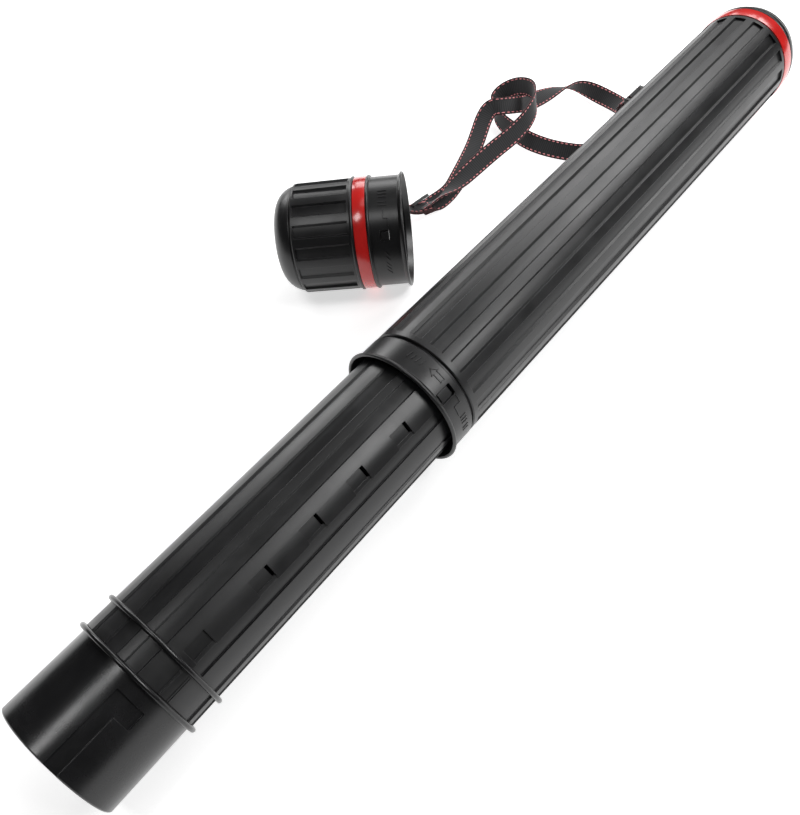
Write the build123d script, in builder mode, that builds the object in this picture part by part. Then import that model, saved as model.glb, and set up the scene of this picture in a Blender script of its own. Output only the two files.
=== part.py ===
from build123d import *
import os
from math import cos, degrees, pi, radians, sin, tan

# Telescoping carrying tube for drawings: a fluted outer tube with a closed end, a fluted inner
# tube with a smooth open neck, a bayonet cap lying beside it and a webbing strap between the two.
# X runs along the tube from the open mouth to the closed end, Z is up, and the origin is the
# centre of the mouth. Angles about X are counted from +Y towards +Z.

# ---- driving dimensions, mm and degrees ----
run_clear = 0.06         # radial clearance of a running fit
fit_gap = 0.05           # clearance of parts fixed in each other

inner_r = 41.0           # outside of the inner tube over its ribs
inner_wall = 2.4         # its wall at a rib
inner_end_x = 578.0      # inner end of the inner tube
inner_recess = 1.1       # depth of the panels between the ribs
channel_depth = 1.4      # unlocking channel beside the ratchet strip
channel_turn = 11.2      # and its width
window_depth = 1.6       # floor of a ratchet window below the strip
window_len = 14.5        # ratchet window along the tube
window_pitch = 40.5      # distance between ratchet windows
first_window_x = 127.5   # start of the first ratchet window
window_count = 9
window_slit = 1.9        # slit at the far end of each window
window_a0 = 131.2        # start angle of the windows
window_turn = 12.0       # and their width
lock_turn = 15.0         # twist that brings the tooth from the channel into a window

neck_step = 1.0          # the smooth neck is this much smaller than the inner tube, in radius
neck_wall = 2.4
neck_len = 57.0          # smooth neck, from the mouth to the inner tube
neck_spigot_len = 23.0   # thin end of the neck inside the inner tube
groove_a0 = 115.2        # bayonet groove in the neck: start angle, width, depth and length
groove_turn = 13.6
groove_depth = 1.4
groove_len = 46.0
neck_pocket_len = 10.8   # pocket beside the groove's inner end
neck_pocket_turn = 15.5
stop_ring_w = 3.0        # width of the two thin stop rings
stop_ring_gap = 0.2      # from the cap's stop ring to the inner tube
travel_ring_x = 75.4     # middle of the ring that stops the tube closing further

outer_play = 0.4         # radial room between inner tube and outer tube
outer_recess = 1.9       # depth of the outer panels
outer_wall = 1.7         # wall of panels and ribs
outer_x0 = 309.5         # open end of the fluted outer tube, beside the collar
outer_x1 = 800.0         # closed end of the fluted outer tube
flutes = 16
rib_angle = 9.0          # a rib's share of a turn
rib_start = 118.7        # angle of the middle of one rib
flute_lean = 34.0        # lean of a panel's sides from straight out
flute_margin = 5.0       # plain length at each end of the panels
spigot_len = 6.5         # end of the outer tube inside the collar

collar_len = 22.5
collar_groove = 2.0      # gap between the collar's edge and the fluted tube
collar_lip_h = 2.5       # the flared lip over the outer tube, what the tube lies on
collar_window_len = 13.0
collar_window_a = 134.4  # angle where the collar's window starts
collar_window_turn = 10.5

ring_w = 12.5            # red ring at the closed end
ring_bow = 0.35          # the ring's outside is slightly crowned
closed_end_len = 19.0    # closed end beyond the tube
end_wall = 2.2

cap_x, cap_y = 433.5, 116.3   # centre of the cap's mouth, where the cap lies
cap_heading = 129.9      # direction of the cap's axis, from mouth to dome, from +X
cap_len = 106.0
skirt_play = 1.2         # radial room between the skirt's bore and the inner tube's ribs
skirt_wall = 2.0
skirt_len = 29.0
cap_lip_h = 2.3          # flared lip over the skirt
crown_play = 0.6         # radial room between the crown's bore and the neck
crown_wall = 4.0
crown_recess = 1.7
cap_ring_w = 10.0
cap_flute_len = 43.5     # cap panels
cap_rib_start = 57.1     # angle of the middle of one rib, about the cap's axis
cap_window_s = 11.7      # window in the skirt, counted from the mouth
cap_window_len = 7.3
cap_window_a = 29.8
cap_window_turn = 10.5

lug_height = 9.2         # strap lugs
lug_depth = 5.0
lug_base = 1.5
bar_r = 1.8
tube_lug_len = 28.0
tube_lug_post = 5.0
rivet_room = 5.0         # base of the tube's lug beyond each post
rivet_r = 1.5
tube_lug_back = 115.0    # from the closed end of the fluted tube to the lug
tube_lug_a = 6.2         # on the middle of a rib
cap_lug_len = 22.0
cap_lug_post = 2.3
cap_lug_s = 15.0
cap_lug_a = 204.0

strap_width = 17.0
web = 1.5                # thickness of the webbing
loop_tail = 8.0          # doubled end beyond the lug's bar
slider_bar = 2.6         # three-bar slider
slider_slot = 4.2
slider_thick = 2.4

# ---- sizes that follow ----
inner_bore_r = inner_r - inner_wall
seat_r = inner_r - inner_recess
window_floor_r = inner_r - window_depth
channel_a0 = window_a0 + lock_turn + 0.6
neck_r = inner_r - neck_step
neck_bore_r = neck_r - neck_wall
outer_clear_r = inner_r + outer_play
panel_r = outer_clear_r + outer_wall
outer_r = panel_r + outer_recess
panel_angle = 360 / flutes - rib_angle
rib_channel_r = outer_r - outer_wall
rib_channel_angle = rib_angle - degrees(2 * outer_wall / outer_clear_r)
flute_x0 = outer_x0 + flute_margin
ring_x = outer_x1 - 1.0 - ring_w
flute_x1 = ring_x - flute_margin
closed_end_x = outer_x1 + closed_end_len
collar_x1 = outer_x0 - collar_groove
collar_x0 = collar_x1 - collar_len
collar_r = outer_r + 0.2
lip_r = outer_r + collar_lip_h
ring_r = outer_r + 0.6
skirt_bore_r = inner_r + skirt_play
skirt_r = skirt_bore_r + skirt_wall
cap_lip_r = skirt_r + cap_lip_h
cap_z = cap_lip_r - lip_r   # the cap lies on the same surface as the tube
crown_bore_r = neck_r + crown_play
crown_r = crown_bore_r + crown_wall
stop_ring_r = skirt_r - 0.1
cap_stop_x = neck_len - stop_ring_gap - stop_ring_w / 2
guide_w = 14.0           # guide ring and its retainer, at the inner tube's inner end
guide_x = inner_end_x - guide_w - 2.0
guide_seat_r = seat_r - 0.1
retainer_w = 1.7
longest_pull = 4 * window_pitch
channel_stop_x = guide_x - longest_pull - 1.0

os.makedirs("parts", exist_ok=True)


# ---- helpers ----
def sector(r0, r1, start, turn):
    """A ring sector between two radii, drawn in the current sketch."""
    with BuildLine() as outline:
        CenterArc((0, 0), r0, start, turn)
        CenterArc((0, 0), r1, start, turn)
        for angle in (start, start + turn):
            direction = Vector(cos(radians(angle)), sin(radians(angle)))
            Line(direction * r0, direction * r1)
    make_face(outline.edges())


def flute(bottom_r, top_r, start, turn):
    """A panel between two ribs: its sides lean outwards, and it is this wide at its top."""
    lean = degrees((top_r - bottom_r) * tan(radians(flute_lean)) / top_r)
    over = lean / (top_r - bottom_r)
    with BuildLine() as outline:
        low = CenterArc((0, 0), bottom_r, start + lean, turn - 2 * lean)
        high = CenterArc((0, 0), top_r + 1, start - over, turn + 2 * over)
        Line(low @ 0, high @ 0)
        Line(low @ 1, high @ 1)
    make_face(outline.edges())


def write(part, name):
    part.label = name
    export_step(part, f"parts/{name}.step")


def cross(x):
    """Section plane across the tube, its local x along +Y and its local y along +Z."""
    return Plane.YZ.offset(x)


# ---- inner tube, with ratchet strip ----
pocket_x = travel_ring_x + stop_ring_w / 2 + 0.6
window_xs = [first_window_x + i * window_pitch for i in range(window_count)]
recess_places = [(60.6, 6.0), (82.2, 15.2), (105.2, 14.0)]
recess_places += [(178.0, 7.0), (192.0, 14.0)]
recess_places += [(214.5 + 22.5 * i, 14.0) for i in range(8)]
with BuildPart() as inner_tube:
    with BuildSketch(cross(neck_len)):
        Circle(inner_r)
        Circle(inner_bore_r, mode=Mode.SUBTRACT)
    extrude(amount=inner_end_x - neck_len)
    with BuildSketch(cross(neck_len)):
        for start, turn in recess_places:
            flute(seat_r, inner_r, start, turn)
    extrude(amount=inner_end_x - neck_len, mode=Mode.SUBTRACT)
    with BuildSketch(cross(pocket_x)):
        sector(inner_r - channel_depth, inner_r + 1, channel_a0, channel_turn)
    extrude(amount=inner_end_x - pocket_x, mode=Mode.SUBTRACT)
    for x in [pocket_x + 2.5] + window_xs:
        with BuildSketch(cross(x)):
            sector(window_floor_r, inner_r + 1, window_a0, window_turn)
        extrude(amount=window_len, mode=Mode.SUBTRACT)
        with BuildSketch(cross(x)):
            sector(inner_r - channel_depth + 0.2, inner_r + 1, window_a0 + 1, channel_a0 - window_a0)
        extrude(amount=window_len, mode=Mode.SUBTRACT)
    for x in window_xs:
        with BuildSketch(cross(x + window_len - window_slit)):
            sector(inner_bore_r - 1, inner_r + 1, window_a0, window_turn - 0.5)
        extrude(amount=window_slit, mode=Mode.SUBTRACT)
    # seat of the guide ring at the inner end
    with BuildSketch(cross(guide_x)):
        Circle(inner_r + 1)
        Circle(guide_seat_r, mode=Mode.SUBTRACT)
    extrude(amount=inner_end_x - guide_x, mode=Mode.SUBTRACT)
write(inner_tube.part, "inner_tube")

# ---- neck with its bayonet groove ----
neck_end_x = neck_len + neck_spigot_len
neck_pocket_x = groove_len - neck_pocket_len
with BuildPart() as neck:
    with BuildSketch(Plane.XY):
        with BuildLine():
            Polyline(
                (0, neck_bore_r + 0.4), (0.6, neck_bore_r), (neck_end_x, neck_bore_r),
                (neck_end_x, inner_bore_r - fit_gap), (neck_len, inner_bore_r - fit_gap),
                (neck_len, neck_r), (0.8, neck_r), (0, neck_r - 0.8), close=True,
            )
        make_face()
    revolve(axis=Axis.X)
    with BuildSketch(cross(0)):
        sector(neck_r - groove_depth, neck_r + 1, groove_a0, groove_turn)
    extrude(amount=groove_len, mode=Mode.SUBTRACT)
    with BuildSketch(cross(neck_pocket_x)):
        sector(neck_r - groove_depth, neck_r + 1, groove_a0 + groove_turn - 1, neck_pocket_turn + 1)
    extrude(amount=neck_pocket_len, mode=Mode.SUBTRACT)
write(neck.part, "neck")


def thin_ring(x, base_r, name):
    """A half-round stop ring on a cylinder."""
    half = stop_ring_w / 2
    top = stop_ring_r
    with BuildPart() as ring:
        with BuildSketch(Plane.XY):
            with BuildLine():
                Polyline((x - half, top - half), (x - half, base_r), (x + half, base_r), (x + half, top - half))
                CenterArc((x, top - half), half, 0, 180)
            make_face()
        revolve(axis=Axis.X)
    write(ring.part, name)


thin_ring(cap_stop_x, neck_r + fit_gap, "cap_stop_ring")
thin_ring(travel_ring_x, inner_r + fit_gap, "travel_stop_ring")

# ---- guide ring: slides in the rib channels, and the inner tube turns in it ----
tooth_angle = rib_channel_angle - 1.0
with BuildPart() as guide_ring:
    with BuildSketch(cross(guide_x + 0.2)):
        Circle(outer_clear_r - run_clear)
        for i in range(flutes):
            sector(
                outer_clear_r - 0.6, rib_channel_r - 0.3,
                rib_start + i * 360 / flutes - tooth_angle / 2, tooth_angle,
            )
        Circle(guide_seat_r + run_clear, mode=Mode.SUBTRACT)
    extrude(amount=guide_w - retainer_w)
write(guide_ring.part, "guide_ring")

with BuildPart() as guide_retainer:
    with BuildSketch(cross(guide_x + 0.4 + guide_w - retainer_w)):
        Circle(inner_r - 0.2)
        Circle(guide_seat_r + 0.02, mode=Mode.SUBTRACT)
    extrude(amount=retainer_w)
write(guide_retainer.part, "guide_retainer")

# ---- outer tube ----
with BuildPart() as outer_tube:
    with BuildSketch(Plane.XY):
        with BuildLine():
            Polyline(
                (outer_x0 - spigot_len, outer_clear_r), (outer_x1, outer_clear_r),
                (outer_x1, panel_r), (ring_x - 0.6, panel_r), (ring_x - 0.6, outer_r - 0.5),
                (ring_x - 1.1, outer_r), (outer_x0 + 0.8, outer_r), (outer_x0, outer_r - 0.8),
                (outer_x0, panel_r), (outer_x0 - spigot_len, panel_r), close=True,
            )
        make_face()
    revolve(axis=Axis.X)
    with BuildSketch(cross(flute_x0)):
        for i in range(flutes):
            start = rib_start + rib_angle / 2 + i * 360 / flutes
            flute(panel_r, outer_r, start, panel_angle)
    extrude(amount=flute_x1 - flute_x0, mode=Mode.SUBTRACT)
    with BuildSketch(cross(channel_stop_x)):
        for i in range(flutes):
            start = rib_start - rib_channel_angle / 2 + i * 360 / flutes
            sector(outer_clear_r - 1, rib_channel_r, start, rib_channel_angle)
    extrude(amount=flute_x1 - channel_stop_x, mode=Mode.SUBTRACT)
write(outer_tube.part, "outer_tube")

# ---- collar at the outer tube's open end, with its flared lip ----
collar_window_x = collar_x0 + 4.5
collar_bore_r = panel_r + fit_gap
with BuildPart() as mouth_collar:
    with BuildSketch(Plane.XY):
        with BuildLine():
            lip_round = 1.4
            lip_mid = (collar_x0 + lip_round, lip_r - lip_round)
            lip_arc = CenterArc(lip_mid, lip_round, 0, 225)
            Polyline(
                lip_arc @ 1, (collar_x0 + 6, collar_bore_r), (collar_x1, collar_bore_r),
                (collar_x1, collar_r - 0.8), (collar_x1 - 0.8, collar_r), (collar_x0 + 4, collar_r),
                lip_arc @ 0,
            )
        make_face()
    revolve(axis=Axis.X)
    with BuildSketch(cross(collar_window_x)):
        sector(collar_bore_r - 1, collar_r + 1, collar_window_a, collar_window_turn)
    extrude(amount=collar_window_len, mode=Mode.SUBTRACT)
write(mouth_collar.part, "mouth_collar")

# ---- lock key: its plate fills most of the window, its foot reaches sideways under the collar
# and its tooth stands in the channel beside the ratchet strip ----
key_x = collar_window_x + 1.0
key_len = collar_window_len - 3.6
tooth_r = inner_r - channel_depth + 0.4
tooth_a0 = channel_a0 + 1.8
tooth_turn = channel_turn - 3.6
foot_r1 = collar_bore_r - fit_gap
with BuildPart() as lock_key:
    with BuildSketch(cross(key_x)):
        sector(inner_r + 0.5, foot_r1, collar_window_a + 0.4, tooth_a0 + tooth_turn - collar_window_a - 0.4)
        sector(foot_r1 - 0.5, collar_r - 0.2, collar_window_a + 0.4, collar_window_turn - 2.4)
        sector(tooth_r, inner_r + 1.0, tooth_a0, tooth_turn)
    extrude(amount=key_len)
write(lock_key.part, "lock_key")

# ---- red ring and closed end ----
with BuildPart() as end_accent_ring:
    with BuildSketch(Plane.XY):
        with BuildLine():
            ring_x1 = ring_x + ring_w
            ring_edge = ring_r - ring_bow
            ring_in = panel_r + fit_gap
            Polyline((ring_x1, ring_edge), (ring_x1, ring_in), (ring_x, ring_in), (ring_x, ring_edge))
            ThreePointArc((ring_x, ring_edge), (ring_x + ring_w / 2, ring_r), (ring_x1, ring_edge))
        make_face()
    revolve(axis=Axis.X)
write(end_accent_ring.part, "end_accent_ring")

end_plug_len = 4.0
end_groove_x = closed_end_x - 10.0
plug_r = outer_clear_r - end_wall
plug_x = outer_x1 - end_plug_len
with BuildPart() as closed_end:
    with BuildSketch(Plane.XY):
        with BuildLine():
            shoulder = (end_groove_x - 1.8, outer_r - 1.4)
            groove = (end_groove_x + 0.8, outer_r - 3.0)
            dome = (closed_end_x, outer_r - 13.0)
            Polyline(
                (closed_end_x, 0), (closed_end_x - end_wall, 0), (closed_end_x - end_wall, outer_r - 14.0),
                (end_groove_x, plug_r), (plug_x, plug_r), (plug_x, outer_clear_r - fit_gap),
                (outer_x1 + fit_gap, outer_clear_r - fit_gap),
                (outer_x1 + fit_gap, outer_r - 0.4), (outer_x1 + 0.8, outer_r), (outer_x1 + 2.0, outer_r),
            )
            ThreePointArc((outer_x1 + 2.0, outer_r), (outer_x1 + 5.2, outer_r - 0.5), shoulder)
            Polyline(shoulder, (end_groove_x, outer_r - 3.1), groove)
            ThreePointArc(groove, (end_groove_x + 7.2, outer_r - 6.2), dome)
            Line(dome, (closed_end_x, 0))
        make_face()
    revolve(axis=Axis.X)
write(closed_end.part, "closed_end")


# ---- strap lugs: a base, two posts and a round bar that the webbing goes round ----
def strap_lug(plane, length, post, base_room, name):
    """The plane's origin is on the seat, x runs along the bar and z points outwards."""
    bar_z = lug_height - bar_r - 0.2
    post_x = length / 2 - post / 2
    with BuildPart() as lug:
        with BuildSketch(plane):
            SlotOverall(length + 2 * base_room, lug_depth + 2)
        extrude(amount=lug_base)
        with BuildSketch(plane.offset(0.5)):
            with Locations((-post_x, 0), (post_x, 0)):
                RectangleRounded(post, lug_depth, 1.1)
        extrude(amount=lug_height - 0.5)
        bar_start = plane.from_local_coords(Vector(-post_x, 0, bar_z))
        bar_plane = Plane(bar_start, x_dir=plane.z_dir, z_dir=plane.x_dir)
        with BuildSketch(bar_plane):
            Circle(bar_r)
        extrude(amount=2 * post_x)
    write(lug.part, name)
    return bar_z


def radial(plane, r, angle):
    """A plane on a cylinder about the given plane's z axis: its x runs along the axis."""
    outward = plane.x_dir * cos(radians(angle)) + plane.y_dir * sin(radians(angle))
    return Plane(plane.origin + outward * r, x_dir=plane.z_dir, z_dir=outward)


tube_lug_seat = radial(cross(outer_x1 - tube_lug_back), outer_r + fit_gap, tube_lug_a)
bar_height = strap_lug(tube_lug_seat, tube_lug_len, tube_lug_post, rivet_room, "tube_strap_lug")

rivet_x = tube_lug_len / 2 + rivet_room / 2
with BuildPart() as tube_lug_rivets:
    with BuildSketch(tube_lug_seat.offset(lug_base + fit_gap)):
        with Locations((-rivet_x, 0), (rivet_x, 0)):
            Circle(rivet_r)
    extrude(amount=0.9)
write(tube_lug_rivets.part, "tube_lug_rivets")

# ---- cap ----
cap_dir = Vector(cos(radians(cap_heading)), sin(radians(cap_heading)), 0)
cap_side = Vector(-sin(radians(cap_heading)), cos(radians(cap_heading)), 0)
cap_mouth = Plane((cap_x, cap_y, cap_z), x_dir=cap_side, z_dir=cap_dir)
cap_profile = Plane((cap_x, cap_y, cap_z), x_dir=cap_dir, z_dir=Vector(0, 0, -1))
cap_axis = Axis((cap_x, cap_y, cap_z), (cap_dir.X, cap_dir.Y, 0))
cap_ring_s = skirt_len + 0.3
cap_ring_end_s = cap_ring_s + cap_ring_w

with BuildPart() as cap_skirt:
    with BuildSketch(cap_profile):
        with BuildLine():
            cap_lip_round = 1.2
            cap_lip = CenterArc((cap_lip_round, cap_lip_r - cap_lip_round), cap_lip_round, 0, 225)
            bead_mid = (skirt_len - 1.2, skirt_r + 0.8)
            bead = CenterArc(bead_mid, 1.2, 0, 180)
            Polyline(cap_lip @ 1, (5.0, skirt_bore_r), (skirt_len, skirt_bore_r), bead @ 0)
            Polyline(bead @ 1, (skirt_len - 2.4, skirt_r), (3.8, skirt_r), cap_lip @ 0)
        make_face()
    revolve(axis=cap_axis)
    with BuildSketch(cap_mouth.offset(cap_window_s)):
        sector(skirt_bore_r - 1, skirt_r + 1, cap_window_a, cap_window_turn)
    extrude(amount=cap_window_len, mode=Mode.SUBTRACT)
write(cap_skirt.part, "cap_skirt")

# the crown: fluted, with a stepped dome, its thin front end inside ring and skirt
cap_flute_s0 = cap_ring_end_s + 4.7
cap_flute_s1 = cap_flute_s0 + cap_flute_len
crown_front_s = cap_window_s + 12.0
crown_front_r = skirt_bore_r - fit_gap
with BuildPart() as cap_crown:
    with BuildSketch(cap_profile):
        with BuildLine():
            crown_bead = CenterArc((cap_ring_end_s + 1.5, crown_r + 0.4), 1.2, 0, 180)
            step1 = (cap_len - 17.0, crown_r - 0.9)
            step2 = (cap_len - 14.6, crown_r - 1.9)
            top = (cap_len, crown_r - 17.6)
            Polyline(
                crown_bead @ 1, (cap_ring_end_s + 0.3, crown_front_r), (crown_front_s, crown_front_r),
                (crown_front_s, crown_bore_r), (cap_len - 16.0, crown_bore_r),
                (cap_len - end_wall, crown_r - 18.6), (cap_len - end_wall, 0), (cap_len, 0), top,
            )
            ThreePointArc(top, (cap_len - 5.6, crown_r - 6.8), step2)
            Polyline(
                step2, (cap_len - 15.6, crown_r - 2.3), step1, (cap_flute_s1 + 1.3, crown_r), crown_bead @ 0,
            )
        make_face()
    revolve(axis=cap_axis)
    with BuildSketch(cap_mouth.offset(cap_flute_s0)):
        for i in range(flutes):
            start = cap_rib_start + rib_angle / 2 + i * 360 / flutes
            flute(crown_r - crown_recess, crown_r, start, panel_angle)
    extrude(amount=cap_flute_s1 - cap_flute_s0, mode=Mode.SUBTRACT)
write(cap_crown.part, "cap_crown")

with BuildPart() as cap_accent_ring:
    with BuildSketch(cap_profile):
        with BuildLine():
            band_in = crown_front_r + fit_gap
            band_mid_s = (cap_ring_s + cap_ring_end_s) / 2
            Polyline(
                (cap_ring_end_s, ring_edge), (cap_ring_end_s, band_in), (cap_ring_s, band_in),
                (cap_ring_s, ring_edge),
            )
            ThreePointArc((cap_ring_s, ring_edge), (band_mid_s, ring_r), (cap_ring_end_s, ring_edge))
        make_face()
    revolve(axis=cap_axis)
write(cap_accent_ring.part, "cap_accent_ring")

# bayonet key: a plate in the skirt's window with the lug that runs in the neck's groove
with BuildPart() as cap_bayonet_key:
    with BuildSketch(cap_mouth.offset(cap_window_s + 0.4)):
        sector(neck_r - groove_depth + 0.4, skirt_r - 0.2, cap_window_a + 0.6, cap_window_turn - 2.0)
        sector(neck_r + 0.6, skirt_bore_r - fit_gap, cap_window_a - 2.5, cap_window_turn + 4.0)
    extrude(amount=cap_window_len - 1.2)
write(cap_bayonet_key.part, "cap_bayonet_key")

cap_lug_seat = radial(cap_mouth.offset(cap_lug_s), skirt_r + fit_gap, cap_lug_a)
strap_lug(cap_lug_seat, cap_lug_len, cap_lug_post, 0, "cap_strap_lug")


# ---- strap ----
def strap_loop(seat, lean, tail, name):
    """Webbing folded round a lug's bar: a sleeve and a doubled tail that leaves at an angle."""
    middle = seat.from_local_coords(Vector(0, 0, bar_height))
    across = seat.y_dir * cos(radians(lean)) + seat.z_dir * sin(radians(lean))
    plane = Plane(middle - seat.x_dir * (strap_width / 2), x_dir=across, z_dir=seat.x_dir)
    inside = bar_r + 0.1
    with BuildPart() as loop:
        with BuildSketch(plane):
            Circle(inside + web)
            with Locations((tail / 2 + inside, 0)):
                Rectangle(tail, 2 * web)
            Circle(inside, mode=Mode.SUBTRACT)
        extrude(amount=strap_width)
    write(loop.part, name)


strap_loop(tube_lug_seat, 35, loop_tail, "strap_tube_loop")
strap_loop(cap_lug_seat, 72, loop_tail, "strap_cap_loop")

# three-bar slider that lies on the webbing beside the cap
slider_middle = (491.4, 154.7, -26.0)
slider_across = Vector(-0.50, -0.60, 0.62)
slider_along = Vector(0.888, -0.375, 0.261)
slider_plane = Plane(slider_middle, x_dir=slider_along, z_dir=slider_along.cross(slider_across))
slot_x = (slider_bar + slider_slot) / 2
with BuildPart() as strap_slider:
    with BuildSketch(slider_plane):
        RectangleRounded(3 * slider_bar + 2 * slider_slot, strap_width + 6.0, 1.5)
        with Locations((-slot_x, 0), (slot_x, 0)):
            Rectangle(slider_slot, strap_width + 1.0, mode=Mode.SUBTRACT)
    extrude(amount=slider_thick / 2, both=True)
write(strap_slider.part, "strap_slider")

# the two strands of webbing from the slider to the tube's lug: the lower one curls over and
# under the upper one on its way
lower_route = [
    (508, 138, -24), (533, 135, -22.5), (562, 131, -20.5), (594, 129, -18), (624, 128, -14),
    (650, 135, -9), (668, 152, -5.5), (673, 174, -11), (662, 195, -25), (644, 192, -36.5),
    (635, 170, -38.8), (631, 146, -38.8), (631, 118, -38.8), (638, 97, -38.8), (650, 81, -35),
    (664, 72, -26), (673, 66, -16),
]
upper_route = [
    (512, 158, -36), (536, 158, -38), (565, 164, -36), (592, 174, -31), (616, 188, -22),
    (636, 190, -15.5), (653, 173, -20), (668, 161, -28), (690, 157, -32), (712, 152, -33),
    (729, 139, -35), (734, 119, -38), (728, 98, -38.8), (719, 82, -36), (711, 73, -27),
    (703, 67, -17), (698, 64, -10),
]


def strand(route, name):
    """A round stand-in for one strand of webbing, as wide as the webbing."""
    corners = [Vector(*p) for p in route]
    runs = [b - a for a, b in zip(corners, corners[1:])]
    half_turns = [radians(a.get_angle(b) / 2) for a, b in zip(runs, runs[1:])]
    shorter = [min(a.length, b.length) for a, b in zip(runs, runs[1:])]
    radii = [0.45 * run / tan(half) for run, half in zip(shorter, half_turns)]
    with BuildLine():
        path = FilletPolyline(*corners, radius=radii)
    with BuildPart() as webbing:
        with BuildSketch(Plane(path @ 0, z_dir=path % 0)):
            Circle(strap_width / 2)
        sweep(path=path)
    section = pi * strap_width**2 / 4
    print(name, "radii", [round(r) for r in radii], "length", round(path.length))
    print(name, "volume over section x length", round(webbing.part.volume / section / path.length, 3))
    write(webbing.part, name)


strand(lower_route, "strap_lower_strand")
strand(upper_route, "strap_upper_strand")
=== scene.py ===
"""Looks of the telescoping drawing tube: finishes, raised marks, webbing strap and studio."""

import math

import bpy
from mathutils import Matrix, Vector


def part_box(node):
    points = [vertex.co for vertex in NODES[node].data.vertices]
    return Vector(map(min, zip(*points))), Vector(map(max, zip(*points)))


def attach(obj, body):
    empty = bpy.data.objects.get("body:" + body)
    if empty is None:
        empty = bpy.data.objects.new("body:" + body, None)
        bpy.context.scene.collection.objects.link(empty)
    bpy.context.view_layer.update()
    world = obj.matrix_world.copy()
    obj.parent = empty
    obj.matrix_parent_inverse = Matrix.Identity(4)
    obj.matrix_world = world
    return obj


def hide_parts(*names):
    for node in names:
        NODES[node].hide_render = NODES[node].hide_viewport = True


bl_info = {
    "name": "Drawing Tube Looks",
    "version": (1, 0, 0),
    "blender": (4, 5, 0),
    "location": "View3D > Sidebar > Drawing Tube",
    "description": "Finishes a telescoping drawing tube, its cap and its strap, and lights them",
    "category": "Object",
}

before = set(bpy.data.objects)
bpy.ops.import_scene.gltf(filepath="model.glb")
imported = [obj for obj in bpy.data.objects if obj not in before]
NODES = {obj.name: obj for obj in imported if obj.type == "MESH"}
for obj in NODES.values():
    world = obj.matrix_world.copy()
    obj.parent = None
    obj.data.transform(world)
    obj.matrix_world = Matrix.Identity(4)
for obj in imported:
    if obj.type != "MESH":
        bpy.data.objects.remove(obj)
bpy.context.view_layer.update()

MM = 0.001
RING_STANDS_OUT = 3.1 * MM  # the thin rings' height over the inner tube
LIP_STANDS_OUT = 2.3 * MM  # the collar lip's height over the face with the marks
LIP_LOW, LIP_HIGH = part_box("mouth_collar")
FLOOR_Z = LIP_LOW.z
INNER_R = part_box("travel_stop_ring")[1].y - RING_STANDS_OUT
COLLAR_R = LIP_HIGH.y - LIP_STANDS_OUT

# the cap's own axis, from its mouth to its dome, and the direction its angles start from
CAP_MOUTH = Vector((0.4335, 0.1163, -0.001))
CAP_ALONG = Vector((-0.64145, 0.76717, 0.0))
CAP_SIDE = Vector((-0.76717, -0.64145, 0.0))
SKIRT_R = 44.2 * MM

LOCK_ANGLE = 120.87  # angle about the tube that its raised marks are counted from

# lug bars that the webbing goes round, and the way its sewn ends leave them
TUBE_BAR = Vector((0.685, 0.051944, 0.005643))
TUBE_TAIL = Vector((0.0, 0.6590, -0.7522))
CAP_BAR = Vector((0.459936, 0.157957, -0.021927))
CAP_TAIL = Vector((0.7625, 0.6380, -0.1050))

# camera: lens in mm, its shift, where it stands and the way its own axes point
LENS, SHIFT_X, SHIFT_Y = 34.83, -0.0265, 0.0007
CAMERA_AT = Vector((0.067776, -0.253194, 0.423488))
CAMERA_RIGHT = Vector((0.62775, -0.77141, -0.10417))
CAMERA_UP = Vector((0.65475, 0.45090, 0.60662))
CAMERA_BACK = Vector((-0.42099, -0.44901, 0.78813))

FLOOR_HALF = 9.0


# ---- sizes and colours that a user would change ----
class TubeFinishes(bpy.types.PropertyGroup):
    black: bpy.props.FloatVectorProperty(
        name="Black", description="Colour of the moulded plastic", subtype="COLOR",
        size=4, min=0, max=1, default=(0.0062, 0.0062, 0.0067, 1),
    )
    red: bpy.props.FloatVectorProperty(
        name="Red", description="Colour of the two accent rings", subtype="COLOR",
        size=4, min=0, max=1, default=(0.52, 0.013, 0.011, 1),
    )
    grey: bpy.props.FloatVectorProperty(
        name="Grey", description="Colour of the strap's slider", subtype="COLOR",
        size=4, min=0, max=1, default=(0.075, 0.08, 0.08, 1),
    )
    edge_round: bpy.props.FloatProperty(
        name="Edge Round", description="Radius that the moulded edges catch the light with",
        default=0.35 * MM, min=0, unit="LENGTH",
    )


class TubeStrap(bpy.types.PropertyGroup):
    width: bpy.props.FloatProperty(
        name="Width", description="Width of the webbing", default=17 * MM, unit="LENGTH",
    )
    thickness: bpy.props.FloatProperty(
        name="Thickness", description="Thickness of the webbing", default=1.3 * MM, unit="LENGTH",
    )
    rib_pitch: bpy.props.FloatProperty(
        name="Rib Pitch", description="From one cross rib of the weave to the next",
        default=2.1 * MM, unit="LENGTH",
    )
    stitch: bpy.props.FloatProperty(
        name="Stitch", description="Length of one visible stitch", default=2.7 * MM, unit="LENGTH",
    )
    stitch_gap: bpy.props.FloatProperty(
        name="Stitch Gap", description="Gap between two stitches", default=2.0 * MM, unit="LENGTH",
    )
    webbing: bpy.props.FloatVectorProperty(
        name="Webbing", description="Colour of the weave", subtype="COLOR",
        size=4, min=0, max=1, default=(0.0105, 0.0105, 0.0115, 1),
    )
    edging: bpy.props.FloatVectorProperty(
        name="Edging", description="Colour of the woven edges", subtype="COLOR",
        size=4, min=0, max=1, default=(0.035, 0.003, 0.005, 1),
    )
    thread: bpy.props.FloatVectorProperty(
        name="Thread", description="Colour of the stitches", subtype="COLOR",
        size=4, min=0, max=1, default=(0.80, 0.24, 0.25, 1),
    )


class TubeMarks(bpy.types.PropertyGroup):
    line: bpy.props.FloatProperty(
        name="Line", description="Width of a raised line", default=0.8 * MM, unit="LENGTH",
    )
    height: bpy.props.FloatProperty(
        name="Height", description="Height of a raised line", default=0.4 * MM, unit="LENGTH",
    )


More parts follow.
